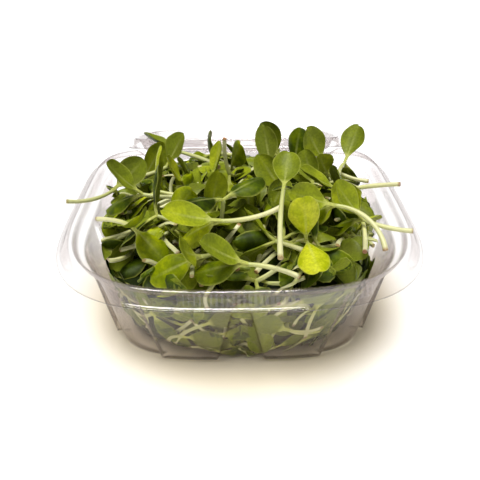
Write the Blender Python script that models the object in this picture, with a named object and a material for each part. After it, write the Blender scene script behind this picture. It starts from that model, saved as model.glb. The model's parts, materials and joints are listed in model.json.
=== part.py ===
"""Sunflower microgreens in a hinged clear bowl, Blender 4.5, metres, +Z up.

The bowl is one thermoformed sheet: a square bowl with rounded sides, a raised rim, and a lid that
hangs open behind it on a folded hinge. Cut sunflower sprouts are heaped in it. The origin is the
middle of the flat underside. Lengths are in millimetres until to_mesh turns them into metres.
"""

import math

import bmesh
import bpy
import numpy as np

MM = 0.001

# The bowl, seen from above: a superellipse, rounder in front (-Y) than at the hinge (+Y).
HALF_WIDTH = 93.0
HALF_DEPTH = 88.0
POWER_FRONT = 3.15
POWER_BACK = 6.5
SHEET = 0.5
FLOOR_Z = SHEET
LEDGE_Z = 51.0
CREST_Z = 57.0
LAND_HALF = 58.0
LAND_FADE = 8.0

# The bowl's floor and its walls.
FLOOR_HALF_X = 65.0
FLOOR_HALF_Y = 60.0
FLOOR_POWER = 4.25
WALL_TOP_INSET = 15.5
WALL_TOP_Z = 43.5
WALL_FOOT_Z = FLOOR_Z + 1.6
RECESS = 3.0
GROOVE_HALF_LOW, GROOVE_HALF_TOP = 11.8, 2.6
PANEL_HALF_LOW, PANEL_HALF_TOP = 38.7, 52.5

# The hinge, a line along X behind the rim. The open lid stops with its far edge just off the table.
HINGE_Y = HALF_DEPTH + 3.8
HINGE_Z = LEDGE_Z + 0.2
HINGE_GAP = 0.6
TAB_HALF = 46.0
LID_SKIN_Z = LEDGE_Z + 0.4
LID_EDGE_INSET = 11.5
LID_REACH = HINGE_Y + HALF_DEPTH - LID_EDGE_INSET
LID_UNDER = LID_SKIN_Z + SHEET - HINGE_Z
LID_CLEAR = 0.3
LID_FALL = math.asin((HINGE_Z - LID_CLEAR) / math.hypot(LID_REACH, LID_UNDER))
DROOP = LID_FALL - math.atan2(LID_UNDER, LID_REACH)

# The heap of greens.
BED_GAP = 1.2
BED_EDGE_Z, BED_TOP_Z = 35.0, 40.0
MOUND_EDGE_Z, MOUND_TOP_Z = 42.0, 50.0
CROWN_EDGE_Z, CROWN_Z = 58.0, 76.0
SPROUTS = 42
TRIES = 900

# Sprouts laid by hand before the rest, to give the heap its show side: where the seed leaves meet
# (x, y, z), which way the sprout heads (yaw, pitch, roll, in degrees), and its
# (stem, bend, leaf, width, spread, lean).
HAND_LAID = [
    ((-8, -31, 75), (-53, 85, 0), (24, 0.3, 20.0, 14.5, 1.2, 0.0)),
    ((30, -55, 66), (-90, 32, 100), (28, 0.5, 21.0, 14.5, 0.5, 0.1)),
    ((3, -67, 61), (180, 4, 72), (24, -0.5, 21.0, 14.5, 0.3, 0.1)),
    ((-9, -54, 76), (180, 2, 62), (30, 0.6, 22.0, 13.5, 0.35, -0.25)),
    ((20, -41, 81), (80, 17, 90), (42, 0.15, 19.0, 13.5, 0.25, -0.3)),
    ((44, -44, 78), (160, -5, -135), (34, 1.3, 19.0, 13.5, 0.6, 0.1)),
    ((52, -14, 70), (174, -15, 90), (30, -0.4, 19.5, 14.0, 0.6, 0.0)),
    ((60, -36, 66), (145, 8, 75), (24, 0.5, 18.5, 13.0, 0.6, 0.0)),
    ((-50, -10, 68), (175, 10, 80), (26, 0.6, 20.0, 14.0, 0.5, 0.0)),
    ((-5, 12, 69), (20, -72, 40), (23, 0.4, 19.0, 13.0, 0.8, 0.0)),
    ((-52, -40, 66), (-52, 8, 110), (28, 0.4, 19.5, 14.0, 0.5, -0.1)),
]

# A sprout: its neck, its half thickness, and how finely its stem is made.
NECK = 4.5
HALF_THICK = 0.6
STEM_POINTS = 40
STEM_STEPS = 6

# The grid of one-millimetre cells in which the heap is laid.
CELLS, TOP_CELL, LIFTS = 98, 130, 45
STEM_MOST = 1.25
CLEAR = 0.95


def material(name, colour, roughness, transmission=0.0):
    """A Principled material of one colour."""
    made = bpy.data.materials.new(name)
    made.use_nodes = True
    shader = made.node_tree.nodes["Principled BSDF"]
    shader.inputs["Base Color"].default_value = (*colour, 1.0)
    shader.inputs["Roughness"].default_value = roughness
    shader.inputs["Metallic"].default_value = 0.0
    shader.inputs["Transmission Weight"].default_value = transmission
    return made


def to_mesh(name, points, faces, look):
    """A mesh object from points in millimetres, with its normals turned outwards."""
    mesh = bpy.data.meshes.new(name)
    mesh.from_pydata((np.asarray(points) * MM).tolist(), [], faces)
    shape = bmesh.new()
    shape.from_mesh(mesh)
    loose = [vertex for vertex in shape.verts if not vertex.link_faces]
    bmesh.ops.delete(shape, geom=loose, context="VERTS")
    bmesh.ops.recalc_face_normals(shape, faces=shape.faces)
    shape.to_mesh(mesh)
    shape.free()
    mesh.materials.append(look)
    made = bpy.data.objects.new(name, mesh)
    bpy.context.scene.collection.objects.link(made)
    mesh.shade_smooth()
    mesh.set_sharp_from_angle(angle=math.radians(30))
    return made


def superellipse(angle, half_x, half_y, power_front, power_back):
    """Points at these polar angles on a superellipse whose power differs front and back."""
    c, s = np.cos(angle), np.sin(angle)
    power = np.where(s < 0, power_front, power_back)
    radius = (np.abs(c / half_x) ** power + np.abs(s / half_y) ** power) ** (-1 / power)
    return np.stack([radius * c, radius * s], axis=-1)


def rim_line(angle, inset):
    """The bowl's outline, moved inwards."""
    return superellipse(angle, HALF_WIDTH - inset, HALF_DEPTH - inset, POWER_FRONT, POWER_BACK)


def floor_line(angle, inset):
    """The outline of the bowl's floor, moved inwards."""
    return superellipse(angle, FLOOR_HALF_X - inset, FLOOR_HALF_Y - inset, FLOOR_POWER, FLOOR_POWER)


def columns():
    """The wall's columns, anticlockwise from +X: (angle at the floor, angle at the top, proudness).

    Each side has two flat panels with a groove between them, and the corners lie back."""
    edge = 1.1
    outer, inner = (-PANEL_HALF_LOW, -PANEL_HALF_TOP), (-GROOVE_HALF_LOW, -GROOVE_HALF_TOP - edge)
    stations = [(outer[0] - edge, outer[1] - edge, 0)]
    for share in (0, 0.25, 0.5, 0.75, 1):
        low, top = (a + (b - a) * share for a, b in zip(outer, inner))
        stations.append((low, top, 1))
    stations.append((inner[0] + edge, inner[1] + edge, 0))
    stations += [(-low, -top, proud) for low, top, proud in reversed(stations)]
    low_radius = [FLOOR_HALF_X, FLOOR_HALF_Y]
    top_radius = [HALF_WIDTH - WALL_TOP_INSET, HALF_DEPTH - WALL_TOP_INSET]
    found = []
    for side in range(4):
        turn = side * math.pi / 2
        low_out, top_out = low_radius[side % 2], top_radius[side % 2]
        sides = [
            (turn + math.atan2(low, low_out), turn + math.atan2(top, top_out), proud)
            for low, top, proud in stations
        ]
        found += sides
        after = turn + math.pi / 2
        low_next, top_next = low_radius[(side + 1) % 2], top_radius[(side + 1) % 2]
        start = sides[-1]
        end_low = after + math.atan2(stations[0][0], low_next)
        end_top = after + math.atan2(stations[0][1], top_next)
        for step in (0.16, 0.31, 0.44, 0.56, 0.69, 0.84):
            found.append(
                (start[0] + (end_low - start[0]) * step, start[1] + (end_top - start[1]) * step, 0)
            )
    return np.array(found)


COLUMNS = columns()


def land(points):
    """1 where the rim is raised, falling to 0 along the flat hinge land at the back."""
    across = np.clip((np.abs(points[:, 0]) - LAND_HALF) / LAND_FADE, 0, 1)
    across = across * across * (3 - 2 * across)
    return np.where(points[:, 1] > 0, across, 1.0)


def rim_ring(inset, z, flat_z):
    """One ring of the rim: z where the rim is raised and flat_z at the hinge land."""
    points = rim_line(COLUMNS[:, 1], inset)
    raised = land(points)
    return np.column_stack([points, flat_z + (z - flat_z) * raised])


def wall_ring(share, inset=0.0):
    """One ring of the wall, share 0 at the floor and 1 at the top, with the panels standing proud."""
    low = floor_line(COLUMNS[:, 0], inset)
    top = rim_line(COLUMNS[:, 1], WALL_TOP_INSET + inset)
    points = low + (top - low) * share
    out = points / np.linalg.norm(points, axis=1, keepdims=True)
    points = points + out * (COLUMNS[:, 2] * RECESS * (1 - 0.75 * share))[:, None]
    z = WALL_FOOT_Z + (WALL_TOP_Z - WALL_FOOT_Z) * share
    return np.column_stack([points, np.full(len(points), z)])


def floor_ring(scale, z=FLOOR_Z):
    """One ring of the flat floor."""
    points = wall_ring(0.0, 2.2)[:, :2] * scale
    return np.column_stack([points, np.full(len(points), z)])


def rings_to_faces(count, rings):
    """Quads between following rings of the same number of points."""
    faces = []
    for ring in range(rings - 1):
        for i in range(count):
            j = (i + 1) % count
            low, high = ring * count, (ring + 1) * count
            faces.append((low + i, low + j, high + j, high + i))
    return faces


def sheet(name, rings, look):
    """A dish of rings from its edge to its middle, closed by one face, given the sheet's thickness."""
    count = len(rings[0])
    faces = rings_to_faces(count, len(rings))
    last = (len(rings) - 1) * count
    faces.append(tuple(range(last, last + count)))
    made = to_mesh(name, np.vstack(rings), faces, look)
    return made


def thicken(made, offset):
    """Solidify by the sheet's thickness: offset 1 towards the face normals, -1 against them."""
    solid = made.modifiers.new("Sheet thickness", "SOLIDIFY")
    solid.thickness = SHEET * MM
    solid.offset = offset
    return made


def normals_up(made):
    """Turns an open dish so that the middle face looks up."""
    shape = bmesh.new()
    shape.from_mesh(made.data)
    shape.faces.ensure_lookup_table()
    middle = max(shape.faces, key=lambda face: len(face.verts))
    if middle.normal.z < 0:
        bmesh.ops.reverse_faces(shape, faces=shape.faces)
    shape.to_mesh(made.data)
    shape.free()


def base_tray(look):
    """The bowl: lip, skirt, crest, inner step, sealing ledge, wall with its panels, and floor."""
    lip_z, step_z = LEDGE_Z - 0.5, CREST_Z - 0.6
    rings = [
        rim_ring(0.0, lip_z, LEDGE_Z),
        rim_ring(1.9, lip_z + 0.2, LEDGE_Z),
        rim_ring(3.2, lip_z + 1.9, LEDGE_Z),
        rim_ring(5.6, step_z, LEDGE_Z),
        rim_ring(7.0, CREST_Z, LEDGE_Z),
        rim_ring(8.6, step_z, LEDGE_Z),
        rim_ring(9.9, LEDGE_Z, LEDGE_Z),
        rim_ring(13.6, LEDGE_Z, LEDGE_Z),
        rim_ring(14.2, LEDGE_Z - 5.6, LEDGE_Z - 5.6),
        wall_ring(1.0),
        wall_ring(0.5),
        wall_ring(0.0),
        floor_ring(1.0),
        floor_ring(0.6),
    ]
    made = sheet("base_tray", rings, look)
    normals_up(made)
    return thicken(made, -1.0)


def hinge_strip(look):
    """The flat strip of the sheet between the bowl's back edge and the hinge line."""
    start = HALF_DEPTH + 0.35
    length, depth = 2 * (TAB_HALF + 3.0), HINGE_Y - HINGE_GAP - start
    low = LEDGE_Z - SHEET
    x, y = length / 2, depth
    points = [
        (-x, start, low), (x, start, low), (x, start + y, low), (-x, start + y, low),
        (-x, start, LEDGE_Z), (x, start, LEDGE_Z), (x, start + y, LEDGE_Z), (-x, start + y, LEDGE_Z),
    ]
    faces = [(0, 3, 2, 1), (4, 5, 6, 7), (0, 1, 5, 4), (1, 2, 6, 5), (2, 3, 7, 6), (3, 0, 4, 7)]
    return to_mesh("hinge_strip", points, faces, look)


def lid_ring(inset, z, angles):
    """One ring of the closed lid, given by its inset from the bowl's outline."""
    points = rim_line(angles, inset)
    return np.column_stack([points, np.full(len(points), z)])


def lid_edge(angles):
    """The closed lid's outer edge: an even flange, with a tab at the back that reaches the hinge."""
    ring = lid_ring(LID_EDGE_INSET, LID_SKIN_Z, angles)
    tab = (np.abs(ring[:, 0]) < TAB_HALF + 1) & (ring[:, 1] > 0)
    ring[tab, 1] = HINGE_Y - HINGE_GAP
    return ring


def lid_angles():
    """Angles round the lid: the bowl's own columns, so that the two nest, and the tab's corners."""
    reach = HALF_DEPTH - LID_EDGE_INSET
    corners = np.arctan2(reach, [TAB_HALF, TAB_HALF + 2.5, -TAB_HALF, -TAB_HALF - 2.5])
    return np.sort(np.concatenate([COLUMNS[:, 1], corners]))


def open_lid(points):
    """Turns closed points about the hinge to where the lid lies open."""
    turn = math.pi + DROOP
    y, z = points[:, 1] - HINGE_Y, points[:, 2] - HINGE_Z
    c, s = math.cos(-turn), math.sin(-turn)
    return np.column_stack([points[:, 0], HINGE_Y + y * c - z * s, HINGE_Z + y * s + z * c])


def lid(look):
    """The lid: flange and tab, the plug that presses into the ledge, its channel, and the panel."""
    angles = lid_angles()
    rings = [
        lid_edge(angles),
        lid_ring(LID_EDGE_INSET + 1.6, LID_SKIN_Z, angles),
        lid_ring(14.9, LID_SKIN_Z, angles),
        lid_ring(15.6, LID_SKIN_Z - 5.8, angles),
        lid_ring(16.4, LID_SKIN_Z - 6.3, angles),
        lid_ring(18.4, LID_SKIN_Z - 6.3, angles),
        lid_ring(19.4, LID_SKIN_Z - 5.6, angles),
        lid_ring(22.6, LID_SKIN_Z + 2.6, angles),
        lid_ring(25.5, LID_SKIN_Z + 3.4, angles),
        lid_ring(52.0, LID_SKIN_Z + 3.9, angles),
    ]
    made = sheet("lid", [open_lid(ring) for ring in rings], look)
    normals_up(made)
    return thicken(made, -1.0)


def mound(name, look, low_edge, low_top, high_edge, high_top, inset):
    """A crowned solid of settled greens between two domed surfaces, clear of the wall."""
    count = len(COLUMNS)

    def ring(scale, edge_z, top_z):
        share = max(0.0, min(1.0, (edge_z - WALL_FOOT_Z) / (WALL_TOP_Z - WALL_FOOT_Z)))
        outline = wall_ring(share, inset)[:, :2] * scale
        z = top_z + (edge_z - top_z) * scale ** 2
        return np.column_stack([outline, np.full(count, z)])

    rings = [ring(s, low_edge, low_top) for s in (0.35, 0.75, 1.0)]
    rings += [ring(s, high_edge, high_top) for s in (1.0, 0.8, 0.55, 0.3)]
    faces = rings_to_faces(count, len(rings))
    faces.append(tuple(range(count)))
    last = (len(rings) - 1) * count
    faces.append(tuple(range(last, last + count)))
    return to_mesh(name, np.vstack(rings), faces, look)


def rotation(yaw, pitch, roll):
    """Roll about the sprout's own line, then pitch it up from level, then yaw it about Z."""
    cy, sy, cp, sp = math.cos(yaw), math.sin(yaw), math.cos(pitch), math.sin(pitch)
    cr, sr = math.cos(roll), math.sin(roll)
    about_z = np.array([[cy, -sy, 0], [sy, cy, 0], [0, 0, 1]])
    about_y = np.array([[cp, 0, -sp], [0, 1, 0], [sp, 0, cp]])
    about_x = np.array([[1, 0, 0], [0, cr, -sr], [0, sr, cr]])
    return about_z @ about_y @ about_x


def stem_line(shape, steps):
    """The stem, an arc in XZ from the seed leaves at the origin back along -X to its cut end."""
    along = np.linspace(0.0, 1.0, steps)
    turned = shape["bend"] * along
    x = -shape["stem"] * along * np.sinc(turned / math.pi)
    z = shape["stem"] * along * np.sin(turned / 2) * np.sinc(turned / 2 / math.pi)
    return np.column_stack([x, np.zeros(steps), z])


def blade_frame(shape, side):
    """Unit vectors of a seed leaf: along it, across it, and out of its upper face."""
    spread = shape["spread"] + side * shape["lean"]
    along = np.array([math.cos(spread), side * math.sin(spread), 0.0])
    across = np.array([0.0, 0.0, 1.0])
    face = np.cross(across, along) * side
    return along, across, -face


def blade_points(shape, side, u, v):
    """Points of a seed leaf's middle surface: u along it from its neck, v across it from -1 to 1."""
    along, across, face = blade_frame(shape, side)
    length, half = shape["leaf"], shape["width"] / 2
    reach = NECK + length * u
    broad = half * blade_width(u)
    curl = shape["curl"] * length * u ** 2
    cup = shape["cup"] * broad * v ** 2
    lift = (cup - curl)[..., None] * face
    return reach[..., None] * along + (broad * v)[..., None] * across + lift


def blade_width(u):
    """Half width along a seed leaf as a share of the widest: narrow neck, round tip."""
    inside = np.clip(u, 0, 1)
    return 0.13 + 0.87 * np.sin(math.pi * inside ** 1.08) ** (0.85 - 0.38 * inside) * (u < 1)


def sprout_points(shape):
    """Points all over a sprout, close enough together to rest it on a height grid."""
    u, v = np.meshgrid(np.linspace(0, 0.98, 17), np.linspace(-1, 1, 11), indexing="ij")
    found = [stem_line(shape, STEM_POINTS)]
    for side in (1, -1):
        found.append(blade_points(shape, side, u, v).reshape(-1, 3))
    return np.vstack(found)


def sprout_shape(rng):
    """One sprout's own sizes, drawn within what sunflower sprouts measure."""
    return {
        "stem": rng.uniform(22, 42),
        "radius": rng.uniform(1.0, 1.25),
        "bend": rng.uniform(-1.1, 1.1),
        "leaf": rng.uniform(17.5, 22.0),
        "width": rng.uniform(12.5, 15.5),
        "spread": rng.uniform(0.4, 1.0),
        "lean": rng.uniform(-0.35, 0.35),
        "curl": rng.uniform(0.05, 0.32),
        "cup": rng.uniform(-0.5, -0.2),
    }


def gauge(x, y):
    """1 on the bowl's outline and less inside it, on rings of the same shape."""
    power = np.where(y < 0, POWER_FRONT, POWER_BACK)
    return (np.abs(x / HALF_WIDTH) ** power + np.abs(y / HALF_DEPTH) ** power) ** (1 / power)


def start_heights(x, y):
    """The heights that the loose sprouts rest on: rim, ledge and the mound of greens under them."""
    share = gauge(x, y)
    inset = (1 - share) * HALF_DEPTH
    scale = share * HALF_WIDTH / (HALF_WIDTH - WALL_TOP_INSET + 1)
    mound_z = MOUND_TOP_Z + (MOUND_EDGE_Z - MOUND_TOP_Z) * np.clip(scale, 0, 1) ** 2
    z = np.where(inset > WALL_TOP_INSET - 1, mound_z, LEDGE_Z + 1)
    z = np.where(inset < LID_EDGE_INSET + 1, CREST_Z + 1, z)
    return np.where(inset < 1.0, 120.0, z + 0.5)


def ball(radius):
    """Whole-number steps to the cells within this radius of a cell."""
    reach = np.arange(-math.ceil(radius), math.ceil(radius) + 1)
    steps = np.stack(np.meshgrid(reach, reach, reach, indexing="ij"), -1).reshape(-1, 3)
    return steps[(steps ** 2).sum(1) <= radius ** 2]


def cells_of(points):
    """The cells of the heap's grid that hold these points, one millimetre each way."""
    cells = np.round(points).astype(int)
    cells[:, :2] = np.clip(cells[:, :2] + CELLS, 5, 2 * CELLS - 5)
    return cells


def stand(points, radii, stem, heights, blocked, least=-TOP_CELL):
    """How far to raise a sprout so that it clears the mound and rim and every sprout laid before."""
    cells = cells_of(points)
    lift = math.ceil((heights[cells[:, 0], cells[:, 1]] + radii - points[:, 2]).max())
    lift = max(least, lift)
    lifts = lift + np.arange(LIFTS)
    levels = np.clip(cells[:, 2] + lifts[:, None], 0, TOP_CELL - 1)
    hit = blocked[stem, cells[:, 0], cells[:, 1], levels].any(axis=1)
    return None if hit.all() else int(lifts[np.argmin(hit)])


def block(points, stem, blocked):
    """Marks the cells that a later leaf (row 0) or stem (row 1) has to keep out of."""
    cells = cells_of(points)
    for later in (0, 1):
        for own in (0, 1):
            reach = ball((HALF_THICK, STEM_MOST)[later] + (HALF_THICK, STEM_MOST)[own] + CLEAR)
            marked = (cells[stem == own][:, None] + reach).reshape(-1, 3)
            blocked[later, marked[:, 0], marked[:, 1], np.clip(marked[:, 2], 0, TOP_CELL - 1)] = True


def hand_laid(row):
    """The shape, turn and spot of one row of HAND_LAID."""
    spot, turns, sizes = row
    shape = dict(zip(("stem", "bend", "leaf", "width", "spread", "lean"), sizes))
    shape.update(radius=1.15, curl=0.22, cup=-0.42)
    return shape, rotation(*np.radians(turns)), np.array(spot, float)


def one_try(rng):
    """A random turn and a spot on the floor plan for a sprout."""
    radius, bearing = 72 * math.sqrt(rng.uniform(0, 1)), rng.uniform(0, 2 * math.pi)
    spot = np.array([radius * math.cos(bearing), 0.94 * radius * math.sin(bearing), 0])
    roll = rng.choice([-1, 1]) * rng.uniform(0.8, 2.3)
    return rotation(rng.uniform(0, 2 * math.pi), rng.uniform(-0.05, 0.55), roll), spot


def heap(count, tries):
    """Lays sprouts one at a time: first the rows of HAND_LAID, raised until they are clear, then the
    rest at random, each where it sits lowest under the domed surface of the heap."""
    rng = np.random.default_rng(7)
    cells = np.arange(-CELLS, CELLS + 1.0)
    grid_x, grid_y = np.meshgrid(cells, cells, indexing="ij")
    heights = start_heights(grid_x, grid_y)
    for axis in (0, 1):
        heights = np.maximum(heights, np.maximum(np.roll(heights, 1, axis), np.roll(heights, -1, axis)))
    crown = CROWN_Z - (CROWN_Z - CROWN_EDGE_Z) * np.clip(gauge(grid_x, grid_y) / 0.9, 0, 1.2) ** 2
    blocked = np.zeros((2, 2 * CELLS + 1, 2 * CELLS + 1, TOP_CELL), bool)
    placed = []
    for number in range(count):
        by_hand = number < len(HAND_LAID)
        shape, turn, spot = hand_laid(HAND_LAID[number]) if by_hand else (sprout_shape(rng), None, None)
        points = sprout_points(shape)
        stem = (np.arange(len(points)) < STEM_POINTS).astype(int)
        radii = np.where(stem == 1, shape["radius"], HALF_THICK)
        best = None
        for _ in range(1 if by_hand else tries):
            if not by_hand:
                turn, spot = one_try(rng)
            laid = points @ turn.T + spot
            lift = stand(laid, radii, stem, heights, blocked, 0 if by_hand else -TOP_CELL)
            if lift is None:
                continue
            at = cells_of(laid)
            over = laid[:, 2] + lift - crown[at[:, 0], at[:, 1]]
            score = round(float(over.mean() + 4 * np.clip(over, 0, None).mean() + over.max()), 2)
            if best is None or score < best[0]:
                best = (score, turn, spot + np.array([0, 0, lift]))
        _, turn, spot = best
        block(points @ turn.T + spot, stem, blocked)
        placed.append((shape, turn, spot))
    return placed


def stem_rings(shape):
    """Eight-sided rings round the stem, from just behind the seed leaves to the cut end."""
    line = stem_line(shape, STEM_STEPS + 1)
    ahead = np.gradient(line, axis=0)
    ahead /= np.linalg.norm(ahead, axis=1, keepdims=True)
    up = np.column_stack([ahead[:, 2], np.zeros(len(line)), -ahead[:, 0]])
    angle = np.radians([-90, -135, 180, 135, 90, 45, 0, -45])
    ring = np.sin(angle)[None, :, None] * up[:, None] + np.cos(angle)[None, :, None] * np.array([0, 1.0, 0])
    rings = line[:, None] + shape["radius"] * ring
    return rings[1:]


def leaf_rings(shape):
    """Four-cornered rings along one seed leaf, through the neck, and along the other."""
    stations = np.array([0.97, 0.86, 0.55, 0.25, 0.03])
    neck = np.array([[[0.4, 0, -0.9], [1.4, 0, 0], [0.4, 0, 0.9], [-0.5, 0, 0]]])
    sections = []
    for side, order in ((1, stations), (-1, stations[::-1])):
        _, _, face = blade_frame(shape, side)
        low, middle, high = (blade_points(shape, side, order, np.full(5, v)) for v in (-1.0, 0.0, 1.0))
        sections.append(np.stack([low, middle + face * HALF_THICK, high, middle - face * HALF_THICK], 1))
    return np.concatenate([sections[0], neck, sections[1]])


def sprout(name, placed, look):
    """A sprout in one skin: two seed leaves that meet in a neck, whose back opens into the stem."""
    shape, turn, spot = placed
    leaves, stem = leaf_rings(shape), stem_rings(shape)
    back = [(16, 19, 23, 20), (19, 18, 22, 23), (20, 23, 27, 24), (23, 22, 26, 27)]
    gap = {frozenset(face) for face in back}
    faces = [face for face in rings_to_faces(4, len(leaves)) if frozenset(face) not in gap]
    faces += [(0, 1, 2, 3), (40, 41, 42, 43)]
    first = 4 * len(leaves)
    loop = [20, 24, 27, 26, 22, 18, 19, 16]
    ends = [loop] + [list(range(first + 8 * i, first + 8 * i + 8)) for i in range(len(stem))]
    for near, far in zip(ends, ends[1:]):
        faces += [(near[i], near[(i + 1) % 8], far[(i + 1) % 8], far[i]) for i in range(8)]
    faces.append(tuple(ends[-1]))
    points = np.vstack([leaves.reshape(-1, 3), stem.reshape(-1, 3)])
    return to_mesh(name, points @ turn.T + spot, faces, look)


def main():
    for old in list(bpy.data.objects):
        bpy.data.objects.remove(old)
    clear = material("Clear PET sheet", (0.93, 0.92, 0.91), 0.05, 1.0)
    green = material("Sunflower sprout", (0.16, 0.33, 0.05), 0.4)
    deep_green = material("Packed sprouts", (0.09, 0.2, 0.03), 0.5)
    base_tray(clear)
    hinge_strip(clear)
    lid(clear)
    mound("packed_sprouts", deep_green, FLOOR_Z + 3.0, FLOOR_Z + 0.6, BED_EDGE_Z, BED_TOP_Z, BED_GAP)
    mound("loose_sprouts", deep_green, BED_EDGE_Z + 0.5, BED_TOP_Z + 0.5, MOUND_EDGE_Z, MOUND_TOP_Z, BED_GAP)
    for number, placed in enumerate(heap(SPROUTS, TRIES), start=1):
        sprout(f"sprout_{number:02d}", placed, green)


main()
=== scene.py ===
"""Sunflower microgreens in a hinged clear bowl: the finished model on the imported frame, Blender 4.5.

Each piece is built by its own operator from numpy grids. The bowl, the lid and the sprouts repeat
the formulas of the CAD part, with many more points. Lengths are in millimetres until new_piece
turns them into metres.
"""

import json
import math

import bpy
import numpy as np
from mathutils import Euler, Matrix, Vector

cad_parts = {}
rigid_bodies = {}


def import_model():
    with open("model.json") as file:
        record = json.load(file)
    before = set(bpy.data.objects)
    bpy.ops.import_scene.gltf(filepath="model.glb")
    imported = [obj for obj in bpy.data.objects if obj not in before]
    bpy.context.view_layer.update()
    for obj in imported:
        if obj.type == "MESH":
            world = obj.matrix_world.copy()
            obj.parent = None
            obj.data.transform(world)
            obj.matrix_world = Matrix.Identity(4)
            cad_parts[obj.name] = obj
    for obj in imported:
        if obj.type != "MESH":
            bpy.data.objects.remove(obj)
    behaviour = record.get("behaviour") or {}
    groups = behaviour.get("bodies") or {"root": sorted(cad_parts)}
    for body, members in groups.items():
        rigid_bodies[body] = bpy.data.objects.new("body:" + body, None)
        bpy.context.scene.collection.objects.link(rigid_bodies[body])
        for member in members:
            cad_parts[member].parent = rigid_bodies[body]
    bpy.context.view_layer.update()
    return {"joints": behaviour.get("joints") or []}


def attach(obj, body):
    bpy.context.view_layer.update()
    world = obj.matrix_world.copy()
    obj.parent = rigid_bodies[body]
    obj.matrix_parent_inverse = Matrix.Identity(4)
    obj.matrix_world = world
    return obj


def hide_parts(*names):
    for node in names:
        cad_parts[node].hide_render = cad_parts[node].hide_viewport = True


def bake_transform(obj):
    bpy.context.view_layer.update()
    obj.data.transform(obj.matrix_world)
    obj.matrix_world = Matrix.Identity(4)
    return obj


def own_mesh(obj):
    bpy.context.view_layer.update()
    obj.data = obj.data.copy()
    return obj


for old in list(bpy.data.objects):
    bpy.data.objects.remove(old)
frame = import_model()

bl_info = {
    "name": "Microgreens bowl",
    "version": (1, 0, 0),
    "blender": (4, 5, 0),
    "location": "View3D > Sidebar > Microgreens",
    "description": "Builds a clear hinged bowl heaped with sunflower microgreens",
    "category": "Object",
}

MM = 0.001

# The lid's joint and the bodies on its two sides, by their names in the record.
HINGE = frame["joints"][0]
LID_JOINT, BOWL_BODY, LID_BODY = HINGE["name"], HINGE["parent"], HINGE["child"]

# The bowl, seen from above: a superellipse, rounder in front (-Y) than at the hinge (+Y), where the
# rim flattens out over a land.
HALF_WIDTH = 93.0
HALF_DEPTH = 88.0
POWER_FRONT = 3.15
POWER_BACK = 6.5
SHEET = 0.5
FLOOR_Z = SHEET
LEDGE_Z = 51.0
CREST_Z = 57.0
LAND_HALF = 58.0
LAND_FADE = 8.0

# The bowl's floor and its walls.
FLOOR_HALF_X = 65.0
FLOOR_HALF_Y = 60.0
FLOOR_POWER = 4.25
WALL_TOP_INSET = 15.5
WALL_TOP_Z = 43.5
WALL_FOOT_Z = FLOOR_Z + 1.6
RECESS, RECESS_TAPER = 3.0, 0.75
PANEL_EDGE = 1.1
FLOOR_FLAT_INSET = 2.2
CORNER_STEPS = (0.16, 0.31, 0.44, 0.56, 0.69, 0.84)
GROOVE_HALF_LOW, GROOVE_HALF_TOP = 11.8, 2.6
PANEL_HALF_LOW, PANEL_HALF_TOP = 38.7, 52.5

# The hinge, a line along X behind the rim. The open lid stops with its far edge just off the table.
HINGE_Y = HALF_DEPTH + 3.8
HINGE_Z = LEDGE_Z + 0.2
HINGE_GAP = 0.6
TAB_HALF, TAB_FADE = 46.0, 2.5
LID_SKIN_Z = LEDGE_Z + 0.4
LID_EDGE_INSET = 11.5
LID_REACH = HINGE_Y + HALF_DEPTH - LID_EDGE_INSET
LID_UNDER = LID_SKIN_Z + SHEET - HINGE_Z
LID_CLEAR = 0.3
LID_FALL = math.asin((HINGE_Z - LID_CLEAR) / math.hypot(LID_REACH, LID_UNDER))
DROOP = LID_FALL - math.atan2(LID_UNDER, LID_REACH)

# The heap of greens.
BED_EDGE_Z, BED_TOP_Z = 35.0, 40.0
MOUND_EDGE_Z, MOUND_TOP_Z = 42.0, 50.0
CROWN_EDGE_Z, CROWN_Z = 58.0, 76.0
SPROUTS = 42
TRIES = 900
HEAP_RADIUS, HEAP_DEPTH_SHARE = 72.0, 0.94
UNDER_RADIUS, MOUND_RADIUS = 70.0, 76.0
HEAP_SEED, TONE_SEED, WALL_SEED, UNDER_SEED = 7, 21, 3, 5

# Sprouts listed here and laid before the rest, to give the heap its show side: where the seed leaves meet
# (x, y, z), which way the sprout heads (yaw, pitch, roll, in degrees), and its
# (stem, bend, leaf, width, spread, lean).
HAND_LAID = [
    ((-8, -31, 75), (-53, 85, 0), (24, 0.3, 20.0, 14.5, 1.2, 0.0)),
    ((30, -55, 66), (-90, 32, 100), (28, 0.5, 21.0, 14.5, 0.5, 0.1)),
    ((3, -67, 61), (180, 4, 72), (24, -0.5, 21.0, 14.5, 0.3, 0.1)),
    ((-9, -54, 76), (180, 2, 62), (30, 0.6, 22.0, 13.5, 0.35, -0.25)),
    ((20, -41, 81), (80, 17, 90), (42, 0.15, 19.0, 13.5, 0.25, -0.3)),
    ((44, -44, 78), (160, -5, -135), (34, 1.3, 19.0, 13.5, 0.6, 0.1)),
    ((52, -14, 70), (174, -15, 90), (30, -0.4, 19.5, 14.0, 0.6, 0.0)),
    ((60, -36, 66), (145, 8, 75), (24, 0.5, 18.5, 13.0, 0.6, 0.0)),
    ((-50, -10, 68), (175, 10, 80), (26, 0.6, 20.0, 14.0, 0.5, 0.0)),
    ((-5, 12, 69), (20, -72, 40), (23, 0.4, 19.0, 13.0, 0.8, 0.0)),
    ((-52, -40, 66), (-52, 8, 110), (28, 0.4, 19.5, 14.0, 0.5, -0.1)),
]
# How much yellower, or deeper below 0, each of those sprouts is than the middle of the greens.
SHOWN_TONES = [-0.25, 0.5, -0.05, 0.25, -0.1, 0.05, 0.15, 0.0, -0.2, 0.2, 0.15]

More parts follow.
